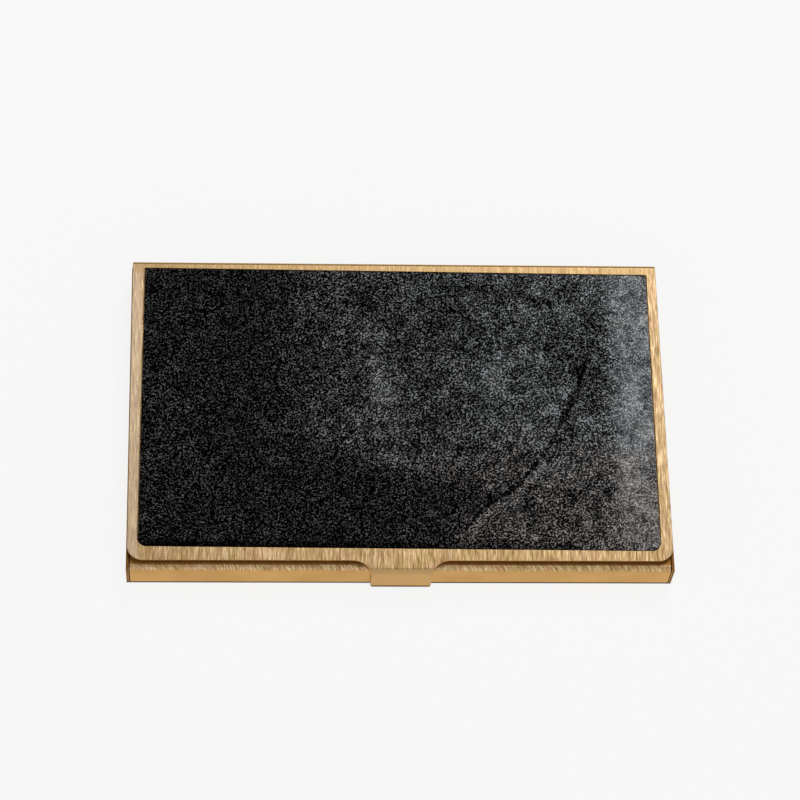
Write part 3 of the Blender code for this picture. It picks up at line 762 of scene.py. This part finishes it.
def leather():
    """Black grained leather: pale grain tips over black, which are painted glints of the grain together with
    wear, fewer of them where the per-point attribute is low.
    """
    shader = Shader("black_grained_leather")
    place = shader.wander(shader.place, 1500.0, 0.00016)
    pebbles = shader.noise(place, 3500.0, 1.0, 0.5, 0.5)
    wear_and_sheen = shader.add("ShaderNodeAttribute", attribute_name="painted_sheen_and_wear").outputs["Fac"]
    painted_sky_tint = shader.add("ShaderNodeAttribute", attribute_name="painted_sky_tint").outputs["Fac"]
    spots = shader.noise(shader.place, 700.0, 2.0, 0.6)
    spots = shader.ramp(spots, (0.36, 0.45), (0.50, 0.85), (0.64, 1.0))
    standing = shader.scaled(wear_and_sheen, 0.075, pebbles)
    grain = shader.ramp(standing, (0.56, 0.0), (0.63, 1.0))
    rubbed_and_painted_light = shader.math("MINIMUM", shader.plus(wear_and_sheen, 0.075), 0.46)
    rubbed_and_painted_light = shader.times(rubbed_and_painted_light, shader.ramp(wear_and_sheen, (0.0, 0.0), (0.03, 1.0)))
    # Painted sheen also lifts the pits where the per-point attribute is high, along the right edge.
    lifted = shader.scaled(shader.math("POWER", wear_and_sheen, 3.0), 0.75, grain)
    # Pale grain tips: painted glints of the grain, together with wear.
    tip_glints = shader.times(shader.times(lifted, spots), rubbed_and_painted_light, clamp=True)
    # The tint is a painted reflection of the sky, cooler towards the rear and the right, mixed with random
    # tone.
    motley_and_sky_tint = shader.noise(shader.place, 260.0, 3.0, 0.6)
    motley_and_sky_tint = shader.scaled(shader.math("SUBTRACT", motley_and_sky_tint, 0.5), 1.6, painted_sky_tint, clamp=True)
    tint = shader.ramp(
        motley_and_sky_tint,
        (0.25, (0.950, 0.890, 0.850)),
        (0.50, (0.920, 0.915, 0.925)),
        (0.75, (0.870, 0.925, 0.960)),
    )
    color = shader.blend(tip_glints, (0.0003, 0.0003, 0.0004), tint)
    roughness = shader.scaled(grain, -0.10, 0.55)
    normal = shader.bump(pebbles, 0.00010, 0.8)
    return shader.finish(color, roughness, normal, Specular_IOR_Level=0.008)


def steel(name, color, rough):
    """Drawn steel with faint marks round it and a mottled tone."""
    shader = Shader(name)
    marks = shader.noise(shader.mapped(shader.place, (6000.0, 700.0, 700.0)), 1.0, 2.0)
    mottle = shader.noise(shader.place, 900.0, 3.0)
    dark = tuple(0.72 * channel for channel in color)
    share = shader.plus(shader.times(marks, 0.5), mottle, clamp=True)
    tone = shader.blend(share, dark, color)
    roughness = shader.scaled(mottle, 0.25, rough)
    return shader.finish(tone, roughness, shader.bump(marks, 0.00002, 0.4), Metallic=1.0)


def nylon():
    """Natural nylon, slightly cloudy."""
    shader = Shader("washer_nylon_cloudy")
    cloud = shader.noise(shader.place, 1500.0, 3.0)
    tone = shader.ramp(cloud, (0.35, (0.62, 0.60, 0.54)), (0.65, (0.82, 0.80, 0.74)))
    fine = shader.noise(shader.place, 9000.0, 2.0)
    return shader.finish(
        tone, shader.scaled(cloud, 0.2, 0.45), shader.bump(fine, 0.00001, 0.4),
        Subsurface_Weight=0.1, Subsurface_Scale=0.0005,
    )


def film():
    """Dried adhesive film, streaked from the roller."""
    shader = Shader("adhesive_film_streaked")
    streaks = shader.noise(shader.mapped(shader.place, (120.0, 1400.0, 500.0)), 1.0, 3.0)
    tone = shader.ramp(streaks, (0.35, (0.60, 0.55, 0.42)), (0.65, (0.78, 0.74, 0.62)))
    roughness = shader.scaled(streaks, 0.3, 0.4)
    return shader.finish(tone, roughness, shader.bump(streaks, 0.00002, 0.5))


# ---------------------------------------------------------------- pieces


def fold(shape, rule):
    """Move every point of a scored blank to its folded place."""
    for vert in shape.verts:
        vert.co = rule(vert.co.x, vert.co.y)


def make_tray(finish, cut_finish, bore):
    """The tray, folded in fine steps."""
    shape = blank(tray_blank(), outside_down=True)
    score(shape, 0, both_sides([FLOOR_SIDE + d for d in score_lines(SIDE_WALL)]))

    def on_floor(center):
        return abs(center.x) < FLOOR_SIDE

    score(shape, 1, [FLOOR_FRONT - d for d in score_lines(FRONT_RAIL)], on_floor)
    score(shape, 1, [FLOOR_REAR + d for d in score_lines(REAR_LIP)], on_floor)
    fold(shape, fold_tray)
    tray = piece("tray_shell_fine", shape, "tray", "tray_shell", finish)
    finish_sheet(tray, TRAY_SHEET, [bore], cut_finish)


def make_lid(finish, cut_finish, bore, pocket):
    """The lid, folded in fine steps."""
    shape = blank(lid_blank(), outside_down=False)
    score(shape, 1, [TONGUE_START - d for d in score_lines(TONGUE)])
    score(shape, 1, [FLANGE_START + d for d in score_lines(FLANGE)])
    flange_flat = FLANGE_START + FLANGE[-2][0]
    ear_scores = both_sides([EAR_START + d for d in score_lines(EAR)])
    score(shape, 0, ear_scores, lambda center: center.y > flange_flat)
    fold(shape, fold_lid)
    lid = piece("lid_shell_fine", shape, "lid", "lid_shell", finish)
    finish_sheet(lid, LID_SHEET, [bore, pocket], cut_finish)


def make_lifter(finish, cut_finish, bore):
    """The card lifter, folded in fine steps."""
    shape = blank(lifter_blank(), outside_down=True)
    score(shape, 0, both_sides([LIFTER_SIDE + d for d in score_lines(LIFTER_WALL)]))

    def on_plate(center):
        return abs(center.x) < LIFTER_SIDE

    score(shape, 1, [LIFTER_LIP_START - d for d in score_lines(LIFTER_LIP)], on_plate)
    fold(shape, fold_lifter)
    lifter = piece("card_lifter_fine", shape, "lifter", "card_lifter", finish)
    finish_sheet(lifter, LIFTER_SHEET, [bore], cut_finish, LIFTER_EDGE_ROUND)


# Where the leather has been folded once, in millimetres from the middle of the case. The points were
# picked in the photograph, and turned into millimetres by another program through the fitted camera.
CREASE = [(35.8, 14.6), (33.7, 11.7), (33.0, 8.8), (31.8, 5.2), (29.4, -0.5), (26.8, -5.4)]
CREASE += [(24.3, -9.1), (20.9, -13.6), (17.4, -16.1), (13.6, -18.9), (11.4, -22.6)]
CREASE_DEPTH = 0.10 * MM
CREASE_WIDTH = 0.36 * MM
# How bold the crease is at places along its points
CREASE_PLACES = (0.0, 1.0, 2.5, 3.5, 5.0, 6.0, 7.5, 10.0)
CREASE_BOLDNESS = (0.3, 0.95, 1.0, 0.85, 0.45, 0.60, 1.0, 0.90)

# The panel: its turn in the lid, its rolled edges, and the height, size and seed of each unevenness
PANEL_SKEW = math.radians(-0.42)
ROLL_SIDE = 0.45 * MM
ROLL_FRONT = 0.95 * MM
ROLL_DROP = 0.42 * MM
PANEL_LEVEL = PANEL_HIGH.z - 0.05 * MM
UNEVEN = ((0.020, 9.0, 3.1), (0.012, 2.6, 7.7), (0.007, 0.9, 12.3))


def eased_line(low, high, roll_low, roll_high, step):
    """Places from low to high, close together where an edge rolls over."""
    near = [0.0, 0.03, 0.09, 0.18, 0.30, 0.44, 0.60, 0.78, 1.0]
    start = [low + share * roll_low for share in near]
    end = [high - share * roll_high for share in reversed(near)]
    count = max(1, round((end[0] - start[-1]) / step))
    middle = [start[-1] + (end[0] - start[-1]) * index / count for index in range(1, count)]
    return np.array(start + middle + end)


def roll_share(distance, width):
    """How far a rolled edge has dropped, from 1 at the very edge to 0 once on the flat."""
    inside = np.clip(1.0 - distance / width, 0.0, 1.0)
    return 1.0 - np.sqrt(1.0 - inside**2)


def crease_shape(x, y):
    """How deep in the crease each point is, and how far up the soft ridge in front of it, from 0 to 1."""
    line = np.array(CREASE) * MM
    best = np.full(x.shape, 1.0)
    place = np.zeros(x.shape)
    front = np.zeros(x.shape)
    for index, (start, end) in enumerate(zip(line, line[1:])):
        step = end - start
        share = ((x - start[0]) * step[0] + (y - start[1]) * step[1]) / (step @ step)
        held = np.clip(share, 0.0, 1.0)
        away = np.hypot(x - start[0] - held * step[0], y - start[1] - held * step[1])
        side = (x - start[0]) * step[1] - (y - start[1]) * step[0]
        nearer = away < best
        best = np.where(nearer, away, best)
        place = np.where(nearer, index + held, place)
        front = np.where(nearer, side < 0.0, front)
    ends = np.clip(np.minimum(place / 1.5, (len(line) - 1 - place) / 0.7), 0.0, 1.0)
    bold = np.interp(place, CREASE_PLACES, CREASE_BOLDNESS) * (1.0 + 0.4 * cloud_field(x, y, 1.1 * MM, 77.0))
    ridge = front * np.exp(-(((best - 1.15 * MM) / (0.65 * MM)) ** 2))
    ridge *= np.clip((place - 5.0) / 2.0, 0.0, 1.0)
    width = CREASE_WIDTH * (0.55 + 0.45 * np.interp(place, CREASE_PLACES, CREASE_BOLDNESS))
    return np.clip(np.exp(-((best / width) ** 2)) * ends * bold, 0.0, 1.0), ridge * ends


def cloud_field(x, y, size, seed):
    """A smooth random height for each point, about -1 to 1."""
    flat = [noise.noise(Vector((a / size, b / size, seed))) for a, b in zip(x.ravel(), y.ravel())]
    return np.array(flat).reshape(x.shape)


def patch(x, y, center, size):
    """A soft oval patch, 1 at its centre."""
    across = (x - center[0] * MM) / (size[0] * MM)
    return np.exp(-(across**2) - ((y - center[1] * MM) / (size[1] * MM)) ** 2)


def rise(value, low, high):
    """Nought below one distance, one above another, and smooth between."""
    share = np.clip((value - low * MM) / ((high - low) * MM), 0.0, 1.0)
    return share * share * (3.0 - 2.0 * share)


def wear_and_sheen_field(x, y, crease, ridge):
    """Grain tip brightness: wear, painted sheen rising to the right, a painted highlight on the right edge,
    and painted shade in the crease and along the rolled front edge.
    """
    drift = 3.0 * MM * cloud_field(x, y, 7.0 * MM, 51.0) + 1.2 * MM * cloud_field(x, y, 2.6 * MM, 63.0)
    near = 1.0 - rise(y + drift, -18.0, -3.0)
    # Painted sheen: the grain tips brighten towards the right, towards the key light.
    wear_and_sheen = 0.055 + 0.17 * rise(x + drift + 17.0 * MM - 25.0 * MM * near, -9.0, 9.0)
    wear_and_sheen += 0.10 * rise(x + drift, 10.0, 24.0)
    wear_and_sheen += 0.05 * patch(x, y, (-42.0, -4.0), (6.0, 12.0)) + 0.16 * ridge
    wear_and_sheen += 0.16 * patch(x, y, (-1.5, 2.5), (5.0, 5.0)) + 0.12 * patch(x, y, (18.0, 6.0), (6.0, 5.0))
    wear_and_sheen -= 0.12 * patch(x, y, (33.0, 12.0), (5.0, 8.0)) + 0.10 * patch(x, y, (12.0, -15.0), (6.0, 4.0))
    wear_and_sheen *= 1.0 + 0.55 * cloud_field(x, y, 6.5 * MM, 21.0) + 0.75 * cloud_field(x, y, 2.4 * MM, 35.0)
    # A painted highlight along the right edge.
    wear_and_sheen += 0.42 * rise(x + 0.35 * drift, 35.5, 41.0)
    # Painted shade along the rolled front edge, most at the left.
    front = (1.0 - rise(y - PANEL_LOW.y, 0.2, 1.8)) * (1.0 - 0.7 * rise(x, 0.0, 30.0))
    wear_and_sheen *= 1.0 - 0.80 * front
    # Painted shade in the crease.
    return np.clip(wear_and_sheen, 0.01, 1.0) * (1.0 - np.clip(1.3 * crease, 0.0, 1.0))


def make_panel(finish):
    """The leather panel: rolled over at its edges, softly uneven, with one old crease."""
    low, high = PANEL_LOW, PANEL_HIGH
    rows = eased_line(low.y, high.y, ROLL_FRONT, ROLL_SIDE, LEATHER_STEP)
    columns = eased_line(-1.0, 1.0, ROLL_SIDE / high.x, ROLL_SIDE / high.x, LEATHER_STEP / high.x)
    front_corner = POCKET_FRONT_CORNER - PANEL_GAP
    rear_corner = POCKET_REAR_CORNER
    short_front = np.clip(front_corner - (rows - low.y), 0.0, front_corner)
    short_rear = np.clip(rear_corner - (high.y - rows), 0.0, rear_corner)
    half = high.x - (front_corner - np.sqrt(front_corner**2 - short_front**2))
    half -= rear_corner - np.sqrt(rear_corner**2 - short_rear**2)
    y, x = np.meshgrid(rows, columns, indexing="ij")
    x = x * half[:, None]
    side_gap = half[:, None] - np.abs(x)
    rolled = np.maximum(roll_share(side_gap, ROLL_SIDE), roll_share(y - low.y, ROLL_FRONT))
    rolled = np.maximum(rolled, roll_share(high.y - y, ROLL_SIDE))
    crease, ridge = crease_shape(x, y)
    uneven = sum(height * MM * cloud_field(x, y, size * MM, seed) for height, size, seed in UNEVEN)
    z = PANEL_LEVEL + uneven * (1 - rolled) - ROLL_DROP * rolled - CREASE_DEPTH * crease + 0.02 * MM * ridge
    z = np.clip(z, low.z + 0.02 * MM, high.z)
    height, width = x.shape
    places = np.stack([x, y, z], -1).reshape(-1, 3)
    places[:, :2] = places[:, :2] @ np.array(Matrix.Rotation(PANEL_SKEW, 2)).T
    faces = [
        (r * width + c, r * width + c + 1, (r + 1) * width + c + 1, (r + 1) * width + c)
        for r in range(height - 1)
        for c in range(width - 1)
    ]
    rim = list(range(width)) + [r * width + width - 1 for r in range(1, height)]
    rim += [(height - 1) * width + c for c in range(width - 2, -1, -1)]
    rim += [r * width for r in range(height - 2, 0, -1)]
    first = len(places)
    foot = places[rim].copy()
    foot[:, 2] = low.z
    foot_index = {vertex: first + index for index, vertex in enumerate(rim)}
    for start, end in zip(rim, rim[1:] + rim[:1]):
        faces.append((end, start, foot_index[start], foot_index[end]))
    faces.append(tuple(reversed([foot_index[vertex] for vertex in rim])))
    data = bpy.data.meshes.new("leather_panel")
    data.from_pydata(np.vstack([places, foot]).tolist(), [], faces)
    wear_and_sheen = wear_and_sheen_field(x, y, crease, ridge)
    # A painted sky reflection: the leather is tinted cooler towards the rear and the right.
    painted_sky_tint = 0.5 + 0.45 * np.tanh((y + 7.0 * MM) / (7.0 * MM)) * np.clip(0.4 + x / high.x, 0.2, 1.0)
    for name, field in (("painted_sheen_and_wear", wear_and_sheen), ("painted_sky_tint", painted_sky_tint)):
        values = np.concatenate([field.ravel(), field.ravel()[rim]]).astype(np.float32)
        data.attributes.new(name, "FLOAT", "POINT").data.foreach_set("value", values)
    data.materials.append(finish)
    panel = link("leather_panel", data)
    shade(panel, 50)
    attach(panel, "lid")
    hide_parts("lid_inlay")


def make_film(finish):
    """The adhesive film, with softly rounded corners."""
    right = [(0.0, FILM_LOW.y)]
    right += arc((FILM_HIGH.x - FILM_CORNER, FILM_LOW.y + FILM_CORNER), FILM_CORNER, -90, 0)
    right += arc((FILM_HIGH.x - FILM_CORNER, FILM_HIGH.y - FILM_CORNER), FILM_CORNER, 0, 90)
    right += [(0.0, FILM_HIGH.y)]
    shape = slab(askew(mirrored(right)), FILM_LOW.z, FILM_HIGH.z)
    made = piece("inlay_adhesive_fine", shape, "lid", "inlay_adhesive", finish)
    shade(made)


def make_pin(name, side, finish):
    """A hinge pin with its groove, its inner end rounded over and its outer end riveted flat."""
    groove_start = CLIP_LOW.x - PIN_CHAMFER / 2
    groove_end = CLIP_HIGH.x + PIN_CHAMFER
    inner, outer = PIN_LOW.x, PIN_HIGH.x
    profile = [(inner, 0.0)]
    profile += arc((inner + PIN_CHAMFER, PIN_RADIUS - PIN_CHAMFER), PIN_CHAMFER, 180, 90, 5)
    profile += [(groove_start, PIN_RADIUS), (groove_start, GROOVE_RADIUS)]
    profile += [(groove_end, GROOVE_RADIUS), (groove_end, PIN_RADIUS)]
    profile += arc((outer - PIN_CHAMFER, PIN_RADIUS - PIN_CHAMFER), PIN_CHAMFER, 90, 0, 5)
    profile += [(outer, RIVET_FLAT), (outer - RIVET_DIMPLE, 0.0)]
    made = piece(name + "_fine", turned(profile, side), "tray", name, finish)
    shade(made)


def make_washer(name, body, finish):
    """A nylon washer with rounded edges."""
    low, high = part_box(name)
    side = 1 if low.x > 0 else -1
    ends = sorted((abs(low.x), abs(high.x)))
    profile = rounded_profile(ends[0], ends[1], BORE_RADIUS, (high.z - low.z) / 2, SMALL_EDGE_ROUND)
    made = piece(name + "_fine", turned(profile, side), body, name, finish)
    shade(made)


def make_clip(name, side, finish):
    """An open retaining ring with rounded edges and two small ends."""
    outer = CLIP_HIGH.z - HINGE_Z
    inner = GROOVE_RADIUS + PIN_CHAMFER / 2
    outline = arc((HINGE_Y, HINGE_Z), outer, 120, 420, 6 * CORNER_STEPS)
    outline += arc((HINGE_Y, HINGE_Z), inner, 420, 120, 6 * CORNER_STEPS)
    places = [(side * CLIP_LOW.x, y, z) for y, z in outline]
    shape = extruded(places, (side * (CLIP_HIGH.x - CLIP_LOW.x), 0.0, 0.0))
    made = piece(name + "_fine", shape, "tray", name, finish)
    round_edges(made, SMALL_EDGE_ROUND, 2)
    settle(made)
    shade(made)


def spring_path(side):
    """A torsion spring's centre line: up from the floor, round the pin, and forward under a lifter arm."""
    start = math.radians(FLOOR_LEG_ANGLE)
    end = math.radians(-90 - 360 * COIL_TURNS)
    steps = round(POINTS_PER_TURN * (start - end) / (2 * math.pi))
    points = []
    for index in range(steps + 1):
        share = index / steps
        angle = start + share * (end - start)
        x = COIL_INNER_END + share * (COIL_OUTER_END - COIL_INNER_END)
        points.append((x, HINGE_Y + COIL_RADIUS * math.cos(angle), HINGE_Z + COIL_RADIUS * math.sin(angle)))
    leg_foot = (
        COIL_INNER_END,
        points[0][1] - FLOOR_LEG_LENGTH * math.sin(start),
        points[0][2] + FLOOR_LEG_LENGTH * math.cos(start),
    )
    arm_level = HINGE_Z - COIL_RADIUS
    splay_y = HINGE_Y - LIFTER_EAR_RADIUS - 4 * WIRE_RADIUS
    arm_leg = [
        (COIL_OUTER_END + WIRE_RADIUS / 3, HINGE_Y - LIFTER_EAR_RADIUS, arm_level),
        (ARM_LEG_SPLAY, splay_y, arm_level),
        (ARM_LEG_SPLAY, HINGE_Y - ARM_LEG_REACH, arm_level),
    ]
    return [Vector((side * x, y, z)) for x, y, z in [leg_foot, *points, *arm_leg]]


def tube(path, radius):
    """A round wire along a path, with domed ends."""
    shape = bmesh.new()
    rings = []
    across = None
    for index, place in enumerate(path):
        before = path[max(index - 1, 0)]
        after = path[min(index + 1, len(path) - 1)]
        heading = (after - before).normalized()
        if across is None:
            across = heading.orthogonal().normalized()
        across = (across - heading * across.dot(heading)).normalized()
        up = heading.cross(across)
        ring = []
        for step in range(WIRE_SIDES):
            angle = 2 * math.pi * step / WIRE_SIDES
            ring.append(shape.verts.new(place + radius * (math.cos(angle) * across + math.sin(angle) * up)))
        rings.append(ring)
    for first, second in zip(rings, rings[1:]):
        for step in range(WIRE_SIDES):
            after = (step + 1) % WIRE_SIDES
            shape.faces.new((first[step], first[after], second[after], second[step]))
    for ring, place, toward in ((rings[0], path[0], path[1]), (rings[-1], path[-1], path[-2])):
        tip = shape.verts.new(place + (place - toward).normalized() * radius * 0.6)
        for step in range(WIRE_SIDES):
            shape.faces.new((ring[step], ring[(step + 1) % WIRE_SIDES], tip))
    bmesh.ops.recalc_face_normals(shape, faces=shape.faces)
    return shape


def make_spring(name, side, finish):
    """A torsion spring, whose coils wind up between the tray and the lifter."""
    made = piece(name + "_fine", tube(spring_path(side), WIRE_RADIUS), None, name, finish)
    shade(made, 60)
    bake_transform(made)


# ---------------------------------------------------------------- studio


def make_camera():
    """The camera, from its place and its yaw, pitch and roll."""
    yaw, pitch, roll = (math.radians(angle) for angle in (CAMERA_YAW, CAMERA_PITCH, CAMERA_ROLL))
    forward = Vector((math.sin(yaw) * math.cos(pitch), math.cos(yaw) * math.cos(pitch), -math.sin(pitch)))
    level = Vector((math.cos(yaw), -math.sin(yaw), 0.0))
    upward = level.cross(forward)
    right = math.cos(roll) * level + math.sin(roll) * upward
    top = -math.sin(roll) * level + math.cos(roll) * upward
    data = bpy.data.cameras.new("camera")
    data.lens = CAMERA_LENS
    data.sensor_width = CAMERA_SENSOR
    data.clip_start = CAMERA_NEAR
    data.clip_end = CAMERA_FAR
    made = link("camera", data)
    turn = Matrix((right, top, -forward)).transposed().to_4x4()
    made.matrix_world = Matrix.Translation(CAMERA_PLACE) @ turn
    bpy.context.scene.camera = made


def make_key_light():
    """A soft square light aimed at the case. Azimuth 0 is straight behind it and 90 is to its right."""
    across, up = math.radians(KEY_AZIMUTH), math.radians(KEY_ELEVATION)
    away = Vector((math.sin(across) * math.cos(up), math.cos(across) * math.cos(up), math.sin(up)))
    data = bpy.data.lights.new("key", "AREA")
    data.shape = "SQUARE"
    data.size = KEY_SIZE
    data.energy = KEY_POWER
    data.color = KEY_COLOR
    made = link("key", data)
    made.location = away * KEY_DISTANCE
    made.rotation_mode = "QUATERNION"
    made.rotation_quaternion = away.to_track_quat("Z", "Y")


def rectangle(low, high):
    """A rectangle's corners on the floor, anticlockwise from the front left."""
    corners = ((low[0], low[1]), (high[0], low[1]), (high[0], high[1]), (low[0], high[1]))
    return [(x, y, 0.0) for x, y in corners]


def make_floor():
    """A pale glowing floor, which is dark only where the tray stands on it, as painted contact shade."""
    places = rectangle(TRAY_LOW, TRAY_HIGH)
    places += rectangle((-FLOOR_REACH, -FLOOR_REACH), (FLOOR_REACH, FLOOR_REACH))
    faces = [(4, 5, 1, 0), (5, 6, 2, 1), (6, 7, 3, 2), (7, 4, 0, 3)]
    data = bpy.data.meshes.new("floor")
    data.from_pydata(places, [], faces + [(0, 1, 2, 3)])
    for name, glow in (("pale_floor", FLOOR_GLOW), ("floor_painted_contact_shade", 0.0)):
        paint = Shader(name)
        tone = paint.ramp(paint.noise(paint.place, 900.0, 2.0), (0.3, FLOOR_TONES[0]), (0.7, FLOOR_TONES[1]))
        shine = {"Specular_IOR_Level": 0.0, "Emission_Color": (1.0, 1.0, 1.0, 1.0), "Emission_Strength": glow}
        data.materials.append(paint.finish(tone, 0.9, **shine))
    # The patch under the tray does not glow: painted contact shade.
    data.polygons[len(faces)].material_index = 1
    link("floor", data)


def make_sky():
    """A soft sky, bright above and in front and dim behind."""
    world = bpy.data.worlds.new("sky")
    bpy.context.scene.world = world
    world.use_nodes = True
    nodes, links = world.node_tree.nodes, world.node_tree.links
    direction = nodes.new("ShaderNodeTexCoord").outputs["Generated"]
    split = nodes.new("ShaderNodeSeparateXYZ")
    links.new(direction, split.inputs[0])
    grade = nodes.new("ShaderNodeMapRange")
    grade.interpolation_type = "SMOOTHSTEP"
    links.new(split.outputs["Y"], grade.inputs["Value"])
    for socket, value in zip(grade.inputs[1:5], (*SKY_CHANGE, SKY_FRONT, SKY_REAR)):
        socket.default_value = value
    sky = nodes["Background"]
    sky.inputs["Color"].default_value = (1.0, 1.0, 1.0, 1.0)
    links.new(grade.outputs["Result"], sky.inputs["Strength"])


def make_studio():
    """A pale floor under a graded sky, and one key light from the right and behind."""
    make_floor()
    make_sky()
    make_key_light()
    bpy.context.scene.view_settings.view_transform = "Standard"


# ---------------------------------------------------------------- the whole case


def main():
    """Make the materials, the pieces from the largest to the smallest, and the studio."""
    edges = {"pale_from": PANEL_HIGH.x - PALE_SIDE_MARGIN, "painted_shade_below": TONGUE_TIP + TONGUE_PAINTED_SHADE}
    lid_brass = brushed_brass("brass_lid_brushed", 0.0, LID_FADE, LID_SATIN, **edges)
    tray_brass = brushed_brass(
        "brass_tray_brushed", TRAY_STROKE_TURN, TRAY_FADE, TRAY_SATIN, 1.5, 1.3, lid_shadow_from=LID_FRONT
    )
    lifter_brass = brushed_brass("brass_lifter_brushed", LIFTER_STROKE_TURN, LID_FADE, TRAY_SATIN, 0.5, 0.6)
    cut_brass = sheared_brass()
    pin_steel = steel("pin_steel_drawn", (0.62, 0.61, 0.60), 0.22)
    spring_steel = steel("spring_steel_drawn", (0.50, 0.50, 0.52), 0.25)
    washer = nylon()
    reach = TRAY_HALF_WIDTH + MM
    bore_profile = [(-reach, 0.0), (-reach, BORE_RADIUS), (reach, BORE_RADIUS), (reach, 0.0)]
    bore = link_mesh("bore_tool", turned(bore_profile))
    pocket = link_mesh("pocket_tool", slab(pocket_outline(), LID_TOP - POCKET_DEPTH, LID_TOP + MM))
    make_tray(tray_brass, cut_brass, bore)
    make_lid(lid_brass, cut_brass, bore, pocket)
    make_lifter(lifter_brass, cut_brass, bore)
    bpy.data.objects.remove(bore)
    bpy.data.objects.remove(pocket)
    make_panel(leather())
    make_film(film())
    for name, side in (("left", -1), ("right", 1)):
        make_pin("hinge_pin_" + name, side, pin_steel)
        make_clip("pin_clip_" + name, side, pin_steel)
        make_washer("hinge_washer_" + name, "tray", washer)
        make_washer("lifter_washer_" + name, "lifter", washer)
        make_spring("lifter_spring_" + name, side, spring_steel)
    make_camera()
    make_studio()


main()
